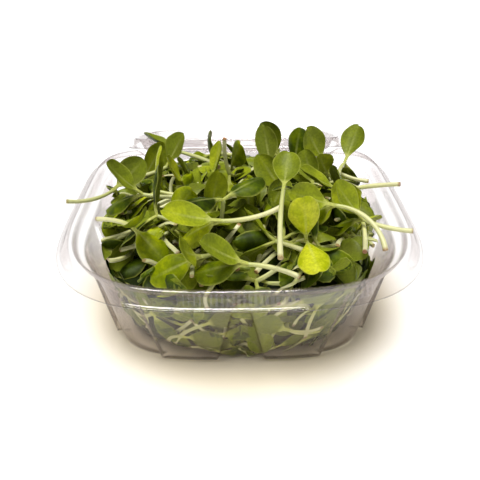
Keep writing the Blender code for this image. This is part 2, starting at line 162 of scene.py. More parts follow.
# A random sprout's sizes, each drawn between two ends, in millimetres and radians.
SPROUT_SIZES = {
    "stem": (22, 42), "radius": (1.0, 1.25), "bend": (-1.1, 1.1), "leaf": (17.5, 22.0), "width": (12.5, 15.5),
    "spread": (0.4, 1.0), "lean": (-0.35, 0.35), "curl": (0.05, 0.32), "cup": (-0.5, -0.2),
}

# A sprout: its neck, the neck's width as a share of the leaf's, its half thickness, and how many
# points of its stem are tried when it is laid.
NECK = 4.5
NECK_SHARE = 0.13
HALF_THICK = 0.6
STEM_POINTS = 40

# How high the two fillings reach, in the bowl's middle and at its edge.
WALL_ROOF, UNDER_ROOF = (46.0, 43.0), (70.0, 54.0)

# The rings of the dark core under each filling, whose darkness is painted shade: (share of its width, share
# of its edge's height).
CORE_RINGS = (
    (0.3, 0), (0.86, 0), (1, 0.05), (1, 0.35), (1, 0.7), (1, 1), (0.8, 1), (0.55, 1), (0.3, 1)
)

# How finely a sprout is made on top and inside the heap: leaf rows, round the leaf, stem rows, round it.
FINE, COARSE = (24, 28, 22, 10), (9, 10, 7, 6)

# The grid of one-millimetre cells in which the heap is laid: its half side, its height, and how many
# lifts are tried. Then the thickest stem's radius, and the gap that sprouts keep.
CELLS, TOP_CELL, LIFTS = 98, 130, 45
STEM_MOST = 1.25
CLEAR = 0.95

# The fine ribs on the front of the rim's inner step, in metres: their pitch, the heights between
# which they fade in and out, and the depths between which they fade in.
RIB_PITCH = 0.0024
RIB_LOW, RIB_HIGH, RIB_FRONT = (0.0512, 0.0522), (0.0562, 0.0552), (-0.066, -0.074)

# Reflection of PET looked at straight on, from its IOR of about 1.56.
PET_REFLECTS = 0.048

# The studio: the sky's light, and for each lamp where it shines from, how wide it looks in degrees,
# and its power. The floor lies just under the bowl.
SKY_LIGHT = 0.11
LAMPS = {"key": ((-0.12, -0.08, 1.0), 36, 3.85), "front": ((0.4, -0.8, 0.7), 50, 0.5)}
LAMP_AIM = (0, 0, 0.04)
FLOOR_SIDE, FLOOR_DROP = 30.0, 0.0002
# Between these distances from the middle, in metres, the painted warm shadow round the bowl's foot fades to
# white.
FOOT_SHADOW_REACH = (0.07, 0.115)

# The camera, in metres and degrees.
CAMERA_AIM = (0.0, 0.0, 0.03)
CAMERA_DISTANCE = 0.34161
CAMERA_RISE, CAMERA_TURN, CAMERA_ROLL = 31.12, -0.7, -0.24
CAMERA_LENS = 45.19
CAMERA_SHIFT = (0.0016, 0.0128)


# ---- the shapes of the CAD part

def superellipse(angle, half_x, half_y, power_front, power_back):
    """Points at these polar angles on a superellipse whose power differs front and back."""
    c, s = np.cos(angle), np.sin(angle)
    power = np.where(s < 0, power_front, power_back)
    radius = (np.abs(c / half_x) ** power + np.abs(s / half_y) ** power) ** (-1 / power)
    return np.stack([radius * c, radius * s], axis=-1)


def rim_line(angle, inset):
    """The bowl's outline, moved inwards."""
    return superellipse(angle, HALF_WIDTH - inset, HALF_DEPTH - inset, POWER_FRONT, POWER_BACK)


def floor_line(angle, inset):
    """The outline of the bowl's floor, moved inwards."""
    return superellipse(angle, FLOOR_HALF_X - inset, FLOOR_HALF_Y - inset, FLOOR_POWER, FLOOR_POWER)


def columns():
    """The wall's columns, anticlockwise from +X: (angle at the floor, angle at the top, proudness).

    Each side has two flat panels with a groove between them, and the corners lie back."""
    outer, inner = (-PANEL_HALF_LOW, -PANEL_HALF_TOP), (-GROOVE_HALF_LOW, -GROOVE_HALF_TOP - PANEL_EDGE)
    stations = [(outer[0] - PANEL_EDGE, outer[1] - PANEL_EDGE, 0)]
    for share in (0, 0.25, 0.5, 0.75, 1):
        low, top = (a + (b - a) * share for a, b in zip(outer, inner))
        stations.append((low, top, 1))
    stations.append((inner[0] + PANEL_EDGE, inner[1] + PANEL_EDGE, 0))
    stations += [(-low, -top, proud) for low, top, proud in reversed(stations)]
    low_out = (FLOOR_HALF_X, FLOOR_HALF_Y)
    top_out = (HALF_WIDTH - WALL_TOP_INSET, HALF_DEPTH - WALL_TOP_INSET)

    def angles(side, low, top):
        """Where a station of this side lies, at the floor and at the top."""
        turn = side * math.pi / 2
        return turn + math.atan2(low, low_out[side % 2]), turn + math.atan2(top, top_out[side % 2])

    found = []
    for side in range(4):
        found += [(*angles(side, low, top), proud) for low, top, proud in stations]
        start, end = np.array(found[-1][:2]), np.array(angles(side + 1, *stations[0][:2]))
        found += [(*(start + (end - start) * step), 0) for step in CORNER_STEPS]
    return np.array(found)


COLUMNS = columns()


def land(points):
    """1 where the rim is raised, falling to 0 along the flat hinge land at the back."""
    across = np.clip((np.abs(points[:, 0]) - LAND_HALF) / LAND_FADE, 0, 1)
    across = across * across * (3 - 2 * across)
    return np.where(points[:, 1] > 0, across, 1.0)


def rim_ring(columns, inset, z, flat_z):
    """One ring of the rim: z where the rim is raised and flat_z at the hinge land."""
    points = rim_line(columns[:, 1], inset)
    raised = land(points)
    return np.column_stack([points, flat_z + (z - flat_z) * raised])


def wall_ring(columns, share, inset=0.0):
    """One ring of the wall, share 0 at the floor and 1 at the top, with the panels standing proud."""
    low = floor_line(columns[:, 0], inset)
    top = rim_line(columns[:, 1], WALL_TOP_INSET + inset)
    points = low + (top - low) * share
    out = points / np.linalg.norm(points, axis=1, keepdims=True)
    points = points + out * (columns[:, 2] * RECESS * (1 - RECESS_TAPER * share))[:, None]
    z = WALL_FOOT_Z + (WALL_TOP_Z - WALL_FOOT_Z) * share
    return np.column_stack([points, np.full(len(points), z)])


def floor_ring(columns, scale, z=FLOOR_Z):
    """One ring of the flat floor."""
    points = wall_ring(columns, 0.0, FLOOR_FLAT_INSET)[:, :2] * scale
    return np.column_stack([points, np.full(len(points), z)])


def lid_ring(inset, z, angles):
    """One ring of the closed lid, given by its inset from the bowl's outline."""
    points = rim_line(angles, inset)
    return np.column_stack([points, np.full(len(points), z)])


def lid_edge(angles):
    """The closed lid's outer edge: an even flange, with a tab at the back that reaches the hinge."""
    ring = lid_ring(LID_EDGE_INSET, LID_SKIN_Z, angles)
    share = np.clip((TAB_HALF + TAB_FADE - np.abs(ring[:, 0])) / TAB_FADE, 0, 1) * (ring[:, 1] > 0)
    share = share * share * (3 - 2 * share)
    ring[:, 1] += (HINGE_Y - HINGE_GAP - ring[:, 1]) * share
    return ring


def open_lid(points):
    """Turns closed points about the hinge to where the lid lies open."""
    turn = math.pi + DROOP
    y, z = points[:, 1] - HINGE_Y, points[:, 2] - HINGE_Z
    c, s = math.cos(-turn), math.sin(-turn)
    return np.column_stack([points[:, 0], HINGE_Y + y * c - z * s, HINGE_Z + y * s + z * c])


def rotation(yaw, pitch, roll):
    """Roll about the sprout's own line, then pitch it up from level, then yaw it about Z."""
    cy, sy, cp, sp = math.cos(yaw), math.sin(yaw), math.cos(pitch), math.sin(pitch)
    cr, sr = math.cos(roll), math.sin(roll)
    about_z = np.array([[cy, -sy, 0], [sy, cy, 0], [0, 0, 1]])
    about_y = np.array([[cp, 0, -sp], [0, 1, 0], [sp, 0, cp]])
    about_x = np.array([[1, 0, 0], [0, cr, -sr], [0, sr, cr]])
    return about_z @ about_y @ about_x


def stem_line(shape, steps):
    """The stem, an arc in XZ from the seed leaves at the origin back along -X to its cut end."""
    along = np.linspace(0.0, 1.0, steps)
    turned = shape["bend"] * along
    x = -shape["stem"] * along * np.sinc(turned / math.pi)
    z = shape["stem"] * along * np.sin(turned / 2) * np.sinc(turned / 2 / math.pi)
    return np.column_stack([x, np.zeros(steps), z])


def blade_frame(shape, side):
    """Unit vectors of a seed leaf: along it, across it, and out of its upper face."""
    spread = shape["spread"] + side * shape["lean"]
    along = np.array([math.cos(spread), side * math.sin(spread), 0.0])
    across = np.array([0.0, 0.0, 1.0])
    face = np.cross(across, along) * side
    return along, across, -face


def blade_points(shape, side, u, v):
    """Points of a seed leaf's middle surface: u along it from its neck, v across it from -1 to 1."""
    along, across, face = blade_frame(shape, side)
    length, half = shape["leaf"], shape["width"] / 2
    reach = NECK + length * u
    broad = half * blade_width(u)
    curl = shape["curl"] * length * u ** 2
    cup = shape["cup"] * broad * v ** 2
    lift = (cup - curl)[..., None] * face
    return reach[..., None] * along + (broad * v)[..., None] * across + lift


def blade_width(u):
    """Half width along a seed leaf as a share of the widest: narrow neck, round tip."""
    inside = np.clip(u, 0, 1)
    bulge = np.sin(math.pi * inside ** 1.08) ** (0.85 - 0.38 * inside)
    return NECK_SHARE + (1 - NECK_SHARE) * bulge * (u < 1)


def sprout_points(shape):
    """Points all over a sprout, close enough together to rest it on a height grid."""
    u, v = np.meshgrid(np.linspace(0, 0.98, 17), np.linspace(-1, 1, 11), indexing="ij")
    found = [stem_line(shape, STEM_POINTS)]
    for side in (1, -1):
        found.append(blade_points(shape, side, u, v).reshape(-1, 3))
    return np.vstack(found)


def sprout_shape(rng):
    """One sprout's own sizes, drawn in the order of SPROUT_SIZES."""
    return {key: rng.uniform(*ends) for key, ends in SPROUT_SIZES.items()}


def gauge(x, y):
    """1 on the bowl's outline and less inside it, on rings of the same shape."""
    power = np.where(y < 0, POWER_FRONT, POWER_BACK)
    return (np.abs(x / HALF_WIDTH) ** power + np.abs(y / HALF_DEPTH) ** power) ** (1 / power)


def start_heights(x, y):
    """The heights that the loose sprouts rest on: rim, ledge and the mound of greens under them."""
    share = gauge(x, y)
    inset = (1 - share) * HALF_DEPTH
    scale = share * HALF_WIDTH / (HALF_WIDTH - WALL_TOP_INSET + 1)
    mound_z = MOUND_TOP_Z + (MOUND_EDGE_Z - MOUND_TOP_Z) * np.clip(scale, 0, 1) ** 2
    z = np.where(inset > WALL_TOP_INSET - 1, mound_z, LEDGE_Z + 1)
    z = np.where(inset < LID_EDGE_INSET + 1, CREST_Z + 1, z)
    return np.where(inset < 1.0, 120.0, z + 0.5)


def ball(radius):
    """Whole-number steps to the cells within this radius of a cell."""
    reach = np.arange(-math.ceil(radius), math.ceil(radius) + 1)
    steps = np.stack(np.meshgrid(reach, reach, reach, indexing="ij"), -1).reshape(-1, 3)
    return steps[(steps ** 2).sum(1) <= radius ** 2]


def cells_of(points):
    """The cells of the heap's grid that hold these points, one millimetre each way."""
    cells = np.round(points).astype(int)
    cells[:, :2] = np.clip(cells[:, :2] + CELLS, 5, 2 * CELLS - 5)
    return cells


def stand(points, radii, stem, heights, blocked, least=-TOP_CELL):
    """How far to raise a sprout so that it clears the mound and rim and every sprout laid before."""
    cells = cells_of(points)
    lift = math.ceil((heights[cells[:, 0], cells[:, 1]] + radii - points[:, 2]).max())
    lift = max(least, lift)
    lifts = lift + np.arange(LIFTS)
    levels = np.clip(cells[:, 2] + lifts[:, None], 0, TOP_CELL - 1)
    hit = blocked[stem, cells[:, 0], cells[:, 1], levels].any(axis=1)
    return None if hit.all() else int(lifts[np.argmin(hit)])


def block(points, stem, blocked):
    """Marks the cells that a later leaf (row 0) or stem (row 1) has to keep out of."""
    cells = cells_of(points)
    for later in (0, 1):
        for own in (0, 1):
            reach = ball((HALF_THICK, STEM_MOST)[later] + (HALF_THICK, STEM_MOST)[own] + CLEAR)
            marked = (cells[stem == own][:, None] + reach).reshape(-1, 3)
            blocked[later, marked[:, 0], marked[:, 1], np.clip(marked[:, 2], 0, TOP_CELL - 1)] = True


def hand_laid(row):
    """The shape, turn and spot of one row of HAND_LAID."""
    spot, turns, sizes = row
    shape = dict(zip(("stem", "bend", "leaf", "width", "spread", "lean"), sizes))
    shape.update(radius=1.15, curl=0.22, cup=-0.42)
    return shape, rotation(*np.radians(turns)), np.array(spot, float)


def one_try(rng):
    """A random turn and a spot on the floor plan for a sprout."""
    radius, bearing = HEAP_RADIUS * math.sqrt(rng.uniform(0, 1)), rng.uniform(0, 2 * math.pi)
    spot = np.array([radius * math.cos(bearing), HEAP_DEPTH_SHARE * radius * math.sin(bearing), 0])
    roll = rng.choice([-1, 1]) * rng.uniform(0.8, 2.3)
    return rotation(rng.uniform(0, 2 * math.pi), rng.uniform(-0.05, 0.55), roll), spot


def heap(count, tries):
    """Lays sprouts one at a time: first the rows of HAND_LAID, raised until they are clear, then the
    rest at random, each where it sits lowest under the domed surface of the heap."""
    rng = np.random.default_rng(HEAP_SEED)
    cells = np.arange(-CELLS, CELLS + 1.0)
    grid_x, grid_y = np.meshgrid(cells, cells, indexing="ij")
    heights = start_heights(grid_x, grid_y)
    for axis in (0, 1):
        heights = np.maximum(heights, np.maximum(np.roll(heights, 1, axis), np.roll(heights, -1, axis)))
    crown = CROWN_Z - (CROWN_Z - CROWN_EDGE_Z) * np.clip(gauge(grid_x, grid_y) / 0.9, 0, 1.2) ** 2
    blocked = np.zeros((2, 2 * CELLS + 1, 2 * CELLS + 1, TOP_CELL), bool)
    lying = []
    for number in range(count):
        by_hand = number < len(HAND_LAID)
        shape, turn, spot = hand_laid(HAND_LAID[number]) if by_hand else (sprout_shape(rng), None, None)
        points = sprout_points(shape)
        stem = (np.arange(len(points)) < STEM_POINTS).astype(int)
        radii = np.where(stem == 1, shape["radius"], HALF_THICK)
        best = None
        for _ in range(1 if by_hand else tries):
            if not by_hand:
                turn, spot = one_try(rng)
            laid = points @ turn.T + spot
            lift = stand(laid, radii, stem, heights, blocked, 0 if by_hand else -TOP_CELL)
            if lift is None:
                continue
            at = cells_of(laid)
            over = laid[:, 2] + lift - crown[at[:, 0], at[:, 1]]
            score = round(float(over.mean() + 4 * np.clip(over, 0, None).mean() + over.max()), 2)
            if best is None or score < best[0]:
                best = (score, turn, spot + np.array([0, 0, lift]))
        _, turn, spot = best
        block(points @ turn.T + spot, stem, blocked)
        lying.append((shape, turn, spot))
    return lying


# ---- meshes

def bands(rows, around):
    """Quads round each pair of neighbouring rings, and the numbers of a ring's points and of the next."""
    ring = np.arange(around)
    after = (ring + 1) % around
    step = around * np.arange(rows - 1)[:, None]
    quads = np.stack([ring + step, after + step, after + step + around, ring + step + around], -1)
    return quads.reshape(-1, 4), ring, after


def tube(rings):
    """A closed skin from rings (rows, around, 3): quads round each pair of rings and a fan at each end."""
    rows, around = rings.shape[:2]
    points = np.vstack([rings.reshape(-1, 3), rings[0].mean(0), rings[-1].mean(0)])
    quads, ring, after = bands(rows, around)
    top = around * (rows - 1)
    first_end = np.stack([np.full(around, rows * around), after, ring], -1)
    last_end = np.stack([np.full(around, rows * around + 1), top + ring, top + after], -1)
    return points, quads, np.vstack([first_end, last_end])


def dish(rings):
    """An open sheet from rings running inwards, closed by a fan in the middle: points, quads, tris."""
    rows, around = rings.shape[:2]
    points = np.vstack([rings.reshape(-1, 3), rings[-1].mean(0)])
    quads, ring, after = bands(rows, around)
    top = around * (rows - 1)
    return points, quads, np.stack([top + ring, top + after, np.full(around, rows * around)], -1)


def faced_out(skin):
    """The skin with its faces looking outwards, so that the signed volume within it, the sum of
    a . (b x c) over its triangles, is positive."""
    points, quads, tris = skin
    a, b, c = points[np.vstack([quads[:, [0, 1, 2]], quads[:, [0, 2, 3]], tris]).T]
    if np.einsum("ij,ij->i", a, np.cross(b, c)).sum() < 0:
        quads, tris = quads[:, ::-1], tris[:, ::-1]
    return points, quads, tris


def joined(skins):
    """Several (skin, attributes, slot) as one: points, quads, tris, attributes and the faces' slots."""
    starts = np.cumsum([0] + [len(skin[0]) for skin, _, _ in skins])
    points = np.vstack([skin[0] for skin, _, _ in skins])
    quads, tris = (
        np.vstack([skin[kind] + start for (skin, _, _), start in zip(skins, starts)]) for kind in (1, 2)
    )
    values = {
        key: np.concatenate([np.broadcast_to(own[key], len(skin[0])) for skin, own, _ in skins])
        for key in skins[0][1]
    }
    slots = [np.full(len(skin[kind]), slot) for kind in (1, 2) for skin, _, slot in skins]
    return points, quads, tris, values, np.concatenate(slots)


def placed(name, data):
    """A new object of this data, in the scene."""
    made = bpy.data.objects.new(name, data)
    bpy.context.scene.collection.objects.link(made)
    return made


def new_piece(name, looks, points, quads, tris, attributes=None, slots=None, sharp=50):
    """A smooth-shaded mesh object from points in millimetres, with point attributes and face slots."""
    mesh = bpy.data.meshes.new(name)
    mesh.from_pydata((points * MM).tolist(), [], quads.tolist() + tris.tolist())
    for look in looks:
        mesh.materials.append(look)
    if slots is not None:
        mesh.polygons.foreach_set("material_index", slots.astype(np.int32))
    for key, value in (attributes or {}).items():
        layer = mesh.attributes.new(key, "FLOAT", "POINT")
        layer.data.foreach_set("value", value.astype(np.float32))
    mesh.shade_smooth()
    mesh.set_sharp_from_angle(angle=math.radians(sharp))
    return placed(name, mesh)


# ---- the clear sheet

def softened(rows, times=2):
    """A profile with its bends rounded: each pass cuts every corner at a quarter of its two sides."""
    rows = np.asarray(rows, float)
    for _ in range(times):
        near, far = rows[:-1], rows[1:]
        cut = np.stack([near * 0.75 + far * 0.25, near * 0.25 + far * 0.75], 1).reshape(-1, rows.shape[1])
        rows = np.vstack([rows[:1], cut[1:-1], rows[-1:]])
    return rows


def fine_columns(rough, step):
    """The CAD columns with more between them, about step apart: the new ones share out each gap evenly."""
    found = []
    after = np.roll(rough, -1, axis=0)
    after[-1, :2] += 2 * math.pi
    for here, there in zip(rough, after):
        count = max(2, round((there[1] - here[1]) * HALF_WIDTH / step))
        share = np.arange(count)[:, None] / count
        found.append(here + (there - here) * share)
    return np.vstack(found)


def ripple(points, size):
    """Slow unevenness of a thin formed sheet, a few centimetres across: a sum of three sine waves."""
    x, y, z = np.moveaxis(points, -1, 0)
    wave = np.sin(0.11 * x + 0.07 * y + 0.05 * z) + np.sin(0.09 * y - 0.13 * z + 1.7)
    return size * (wave + np.sin(0.17 * x - 0.12 * y + 0.9)) / 3


def sheet_piece(name, look, points, quads, tris=()):
    """A smooth sheet, given its thickness below its upper face."""
    made = new_piece(name, [look], points, quads, np.reshape(tris, (-1, 3)), sharp=180)
    solid = made.modifiers.new("Sheet thickness", "SOLIDIFY")
    solid.thickness = SHEET * MM
    solid.offset = -1.0
    return made


def bowl_rings(columns, waviness):
    """Every ring of the bowl, from its lip over the crest and down the wall to the middle of its floor.

    The rim's profile is (inset, height, height at the hinge land), softened. The wall runs straight
    between the top outline and the floor outline, share 1 to 0, with a fillet at its foot."""
    lip_z, step_z = LEDGE_Z - 0.5, CREST_Z - 0.6
    rim = softened([
        (0.0, lip_z, LEDGE_Z), (1.9, lip_z + 0.2, LEDGE_Z), (3.2, lip_z + 1.9, LEDGE_Z),
        (5.6, step_z, LEDGE_Z), (7.0, CREST_Z, LEDGE_Z), (8.6, step_z, LEDGE_Z),
        (9.9, LEDGE_Z, LEDGE_Z), (13.6, LEDGE_Z, LEDGE_Z), (14.2, LEDGE_Z - 5.6, LEDGE_Z - 5.6),
    ])
    rings = [rim_ring(columns, inset, z, flat_z) for inset, z, flat_z in rim]
    shares = np.concatenate([[1.0], np.linspace(0.985, 0.03, 20), [0.0]])
    rings += [wall_ring(columns, share) for share in shares]
    fillet = [(1.0, 0.9), (0.99, 0.35), (0.97, 0.08), (0.94, 0.0)]
    rings += [floor_ring(columns, scale, FLOOR_Z + lift) for scale, lift in fillet]
    rings += [floor_ring(columns, scale) for scale in (0.8, 0.6, 0.4, 0.2, 0.06)]
    rings = np.array(rings)
    outward = rings[:, :, :2] / np.linalg.norm(rings[:, :, :2], axis=2, keepdims=True)
    on_wall = np.clip((rings[:, :, 2] - 6) / 8, 0, 1) * np.clip((46 - rings[:, :, 2]) / 6, 0, 1)
    rings[:, :, :2] += outward * (ripple(rings, waviness) * on_wall)[..., None]
    return rings


def lid_rings(columns):
    """Every ring of the closed lid from its flange to the middle of its panel, softened like the rim."""
    profile = softened([
        (LID_EDGE_INSET + 1.6, LID_SKIN_Z), (14.9, LID_SKIN_Z), (15.6, LID_SKIN_Z - 5.8),
        (16.4, LID_SKIN_Z - 6.3), (18.4, LID_SKIN_Z - 6.3), (19.4, LID_SKIN_Z - 5.6),
        (22.6, LID_SKIN_Z + 2.6), (25.5, LID_SKIN_Z + 3.4), (38.0, LID_SKIN_Z + 3.65),
        (52.0, LID_SKIN_Z + 3.9), (70.0, LID_SKIN_Z + 3.9),
    ])
    angles = columns[:, 1]
    rings = [lid_edge(angles)] + [lid_ring(inset, z, angles) for inset, z in profile]
    return np.array(rings)


# ---- sprouts

def blade_skin(shape, side, rows, around, wave):
    """A closed seed leaf with its stalk, from where the two leaves meet (reach 0) to the round tip.

    Round the section, w runs 0 to 2 pi: v = cos w across the leaf, and T(u) sin w out of its middle
    surface. The upper face has a groove along the middle and the lower face a rib."""
    along, across, face = blade_frame(shape, side)
    length, half = shape["leaf"], shape["width"] / 2
    stalk = NECK / length
    u = -stalk + (1 + stalk) * np.sin(np.linspace(0, 1, rows) * math.pi / 2) ** 1.15
    u = u[:, None]
    w = np.linspace(0, 2 * math.pi, around, endpoint=False)[None, :]
    v = np.cos(w)
    inside = np.clip(u, 0, 1)
    tip = np.sqrt(np.clip(1 - inside ** 6, 0, 1))
    broad = half * (blade_width(inside) - NECK_SHARE + NECK_SHARE * tip)
    blade = np.clip(u * 6, 0, 1)
    thick = (0.42 + 0.4 * (1 - blade)) * tip
    lift = shape["cup"] * broad * v ** 2 - shape["curl"] * length * inside ** 2
    lift = lift + 0.07 * broad * v ** 2 * np.sin(9 * u + wave + 2 * v) * blade
    lift = lift + thick * np.sin(w) - 0.3 * np.exp(-((v / 0.17) ** 2)) * blade * tip
    reach = NECK + length * u
    reach = reach + 0.03 * length * np.sin(3 * u + wave) * v * blade
    points = reach[..., None] * along + (broad * v)[..., None] * across + lift[..., None] * face
    skin = faced_out(tube(points))
    side_up = 0.5 + 0.5 * np.tanh(3 * np.sin(w))
    values = {"along": (u, 0.0, 1.0), "across": (np.abs(v), 0.0, 0.0), "upper": (side_up, 0.5, 0.5)}
    return skin, {
        key: np.append(np.broadcast_to(value, points.shape[:2]), (first, last))
        for key, (value, first, last) in values.items()
    }


def stem_skin(shape, rows, around, wave):
    """A closed stem: an arc, a little uneven, thicker towards its cut end, which is flat."""
    line = stem_line(shape, rows)
    ahead = np.gradient(line, axis=0)
    ahead /= np.linalg.norm(ahead, axis=1, keepdims=True)
    up = np.column_stack([ahead[:, 2], np.zeros(rows), -ahead[:, 0]])
    side = np.cross(ahead, up)
    share = np.linspace(0, 1, rows)
    radius = shape["radius"] * (0.9 + 0.16 * share + 0.05 * np.sin(11 * share + wave))
    angle = np.linspace(0, 2 * math.pi, around, endpoint=False)
    ring = np.cos(angle)[None, :, None] * up[:, None] + np.sin(angle)[None, :, None] * side[:, None]
    rings = line[:, None] + radius[:, None, None] * ring
    rings = np.concatenate([rings[:1] * 0.3 + line[0] * 0.7 + [0.6, 0, 0], rings])
    skin = faced_out(tube(rings))
    along = np.concatenate([np.repeat(np.concatenate([[0.0], share]), around), [0.0, 1.0]])
    return skin, {"along": along, "across": 0.5, "upper": 0.5}


def sprout_skins(shape, tone, rng, fineness):
    """The three skins of a sprout, two seed leaves and a stem, at one of two levels of fineness."""
    rows, around, stem_rows, stem_around = fineness
    wave = rng.uniform(0, 6, 3)
    found = []
    for side, phase, shift in ((1, wave[0], 0.06), (-1, wave[1], -0.06)):
        skin, values = blade_skin(shape, side, rows, around, phase)
        values["tone"] = np.clip(tone + shift * rng.uniform(-1, 2), 0, 1)
        found.append((skin, values, 0))
    skin, values = stem_skin(shape, stem_rows, stem_around, wave[2])
    values["tone"] = tone
    found.append((skin, values, 1))
    return found


def moved(skins, turn, spot):
    """The skins turned and then moved."""
    return [((points @ turn.T + spot, quads, tris), values, slot)
            for (points, quads, tris), values, slot in skins]


def give_way(piece):
    """Gives the sprout a mesh of its own."""
    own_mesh(piece)


def wall_limit(x, y, z, gap):
    """How far from the middle a point may be before it is within gap of the inner wall."""
    angle = np.arctan2(y, x)
    share = np.clip((z - WALL_FOOT_Z) / (WALL_TOP_Z - WALL_FOOT_Z), 0, 1)
    low = np.linalg.norm(floor_line(angle, gap), axis=-1)
    top = np.linalg.norm(rim_line(angle, WALL_TOP_INSET + gap), axis=-1)
    panel = np.interp(angle, COLUMNS[:, 1], COLUMNS[:, 2], period=2 * math.pi)
    return low + (top - low) * share + panel * 0.85 * RECESS * (1 - RECESS_TAPER * share)


def kept_inside(points, gap, roof, softness=1.2):
    """Points drawn back inside the wall, above the floor and under the domed roof, each by
    r' = limit - s log(1 + exp((limit - r) / s)), so that what would pass the wall lies flat against it.
    They fill the front of the bowl closely and stand off from its sides and corners."""
    x, y, z = points.T
    lowest = FLOOR_Z + 0.8
    z = lowest + softness * np.logaddexp(0, (z - lowest) / softness)
    radius = np.maximum(np.hypot(x, y), 0.01)
    roof = roof[0] - (roof[0] - roof[1]) * (radius / MOUND_RADIUS) ** 2
    z = roof - softness * np.logaddexp(0, (roof - z) / softness)
    off = np.clip(np.abs(x) / radius, 0, 1) ** 2
    corner = (2 * x * y / radius ** 2) ** 2
    low = np.clip(1 - z / 22, 0, 1) ** 2
    limit = wall_limit(x, y, z, 0.0) - (gap + 4.5 * off + 3.0 * corner + 5.0 * low * corner)
    held = limit - softness * np.logaddexp(0, (limit - radius) / softness)
    return np.column_stack([x * held / radius, y * held / radius, z])


def wall_sprout(rng, shape):
    """A sprout by the wall: one seed leaf lies flat to it and points any way, the other turns inwards."""
    bearing, z, gap = rng.uniform(0, 2 * math.pi), rng.uniform(4, 40), rng.uniform(0.9, 6)
    c, s = math.cos(bearing), math.sin(bearing)
    radius = float(wall_limit(c, s, z, 0.0)) - gap
    tangent = bearing + math.pi / 2 + shape["spread"] - shape["lean"]
    flat = rotation(tangent, 0.0, 0.0)
    out = rotation(bearing, 0.0, 0.0)
    turn = out @ rotation(0.0, 0.0, rng.uniform(0, 2 * math.pi)) @ out.T @ flat
    return turn, np.array([radius * c, radius * s, z]), gap


def under_sprout(rng, _):
    """Where a sprout lies just under the top of the heap, any way round."""
    radius, bearing = UNDER_RADIUS * math.sqrt(rng.uniform(0, 1)), rng.uniform(0, 2 * math.pi)
    scale = radius / MOUND_RADIUS
    z = MOUND_TOP_Z + (MOUND_EDGE_Z - MOUND_TOP_Z) * scale ** 2 + rng.uniform(-3, 15) * (1.1 - 0.5 * scale)
    spot = np.array([radius * math.cos(bearing), HEAP_DEPTH_SHARE * radius * math.sin(bearing), z])
    turn = rotation(rng.uniform(0, 2 * math.pi), rng.uniform(-0.4, 0.5), rng.uniform(-math.pi, math.pi))
    return turn, spot, 1.0


def filling(count, seed, place, roof, tones):
    """Many coarse sprouts, each placed by the function given, and kept inside the wall and under a
    domed roof, given by its height in the middle and at the edge."""
    rng = np.random.default_rng(seed)
    found = []
    for _ in range(count):
        shape = sprout_shape(rng)
        shape["stem"] = rng.uniform(14, 30)
        turn, spot, gap = place(rng, shape)
        for (points, quads, tris), values, slot in moved(
            sprout_skins(shape, rng.uniform(*tones), rng, COARSE), turn, spot
        ):
            found.append(((kept_inside(points, gap, roof), quads, tris), values, slot))
    return found


def shade_core(low_z, edge_z, top_z, tone):
    """A lumpy dark solid inside the greens, so that no light shows through gaps between them. Its darkness is
    painted shade, standing in for the greens lying deep in the heap.
    """
    angle = np.linspace(0, 2 * math.pi, 96, endpoint=False)
    rings = []
    for scale, share in CORE_RINGS:
        z = low_z + (edge_z - low_z) * share + (top_z - edge_z) * (1 - scale ** 2) * (share == 1)
        radius = wall_limit(np.cos(angle), np.sin(angle), np.full(96, z), 8.0) * scale
        bump = 1.1 * np.sin(7 * angle + 0.4 * z) + 0.9 * np.sin(12 * angle - 0.5 * z)
        radius += bump
        rings.append(np.column_stack([radius * np.cos(angle), radius * np.sin(angle), z + 0.7 * bump]))
    skin = faced_out(tube(np.array(rings)))
    values = {"along": 0.4, "across": 0.5, "upper": 1.0, "tone": tone}
    return skin, values, 0


# ---- materials

def linear(colour):
    """A hex sRGB colour as linear RGBA."""
    parts = [int(colour[i:i + 2], 16) / 255 for i in (1, 3, 5)]
    return (*[p / 12.92 if p <= 0.04045 else ((p + 0.055) / 1.055) ** 2.4 for p in parts], 1.0)


def new_material(name):
    """An empty node material and its node tree."""
    made = bpy.data.materials.new(name)
    made.use_nodes = True
    made.node_tree.nodes.clear()
    return made, made.node_tree


def add(tree, kind, inputs=None, **settings):
    """A node of this kind with its settings. Each input is a value, a hex colour or a socket to link."""
    node = tree.nodes.new(kind)
    for key, value in settings.items():
        setattr(node, key, value)
    for key, value in (inputs or {}).items():
        if isinstance(value, bpy.types.NodeSocket):
            tree.links.new(value, node.inputs[key])
        else:
            node.inputs[key].default_value = linear(value) if isinstance(value, str) else value
    return node


def finished(material, surface):
    """The material with this surface at its output."""
    add(material.node_tree, "ShaderNodeOutputMaterial", {"Surface": surface})
    return material


def worked(tree, operation, first, *others):
    """One sum carried through numbers or sockets from the first to the last."""
    for other in others or (0.0,):
        first = add(tree, "ShaderNodeMath", {0: first, 1: other}, operation=operation).outputs[0]
    return first


def fade(tree, value, start, end, low=0.0, high=1.0):
    """value from start..end turned smoothly to low..high."""
    return add(
        tree, "ShaderNodeMapRange",
        {"Value": value, "From Min": start, "From Max": end, "To Min": low, "To Max": high},
        interpolation_type="SMOOTHSTEP",
    ).outputs[0]


def mix(tree, share, first, second, blend="MIX"):
    """Two colours mixed by the Mix node, whose colour inputs are numbers 6 and 7 and output number 2."""
    ends = {0: share, 6: first, 7: second}
    return add(tree, "ShaderNodeMix", ends, data_type="RGBA", blend_type=blend).outputs[2]


def point_value(tree, name):
    """A point attribute of the mesh."""
    return add(tree, "ShaderNodeAttribute", attribute_name=name).outputs["Fac"]


def ramp(tree, value, stops):
    """A colour ramp read at value, from stops of (place, colour)."""
    made = add(tree, "ShaderNodeValToRGB", {0: value})
    for index, (place, colour) in enumerate(stops):
        stop = made.color_ramp.elements[index] if index < 2 else made.color_ramp.elements.new(place)
        stop.position = place
        stop.color = linear(colour)
    return made.outputs[0]


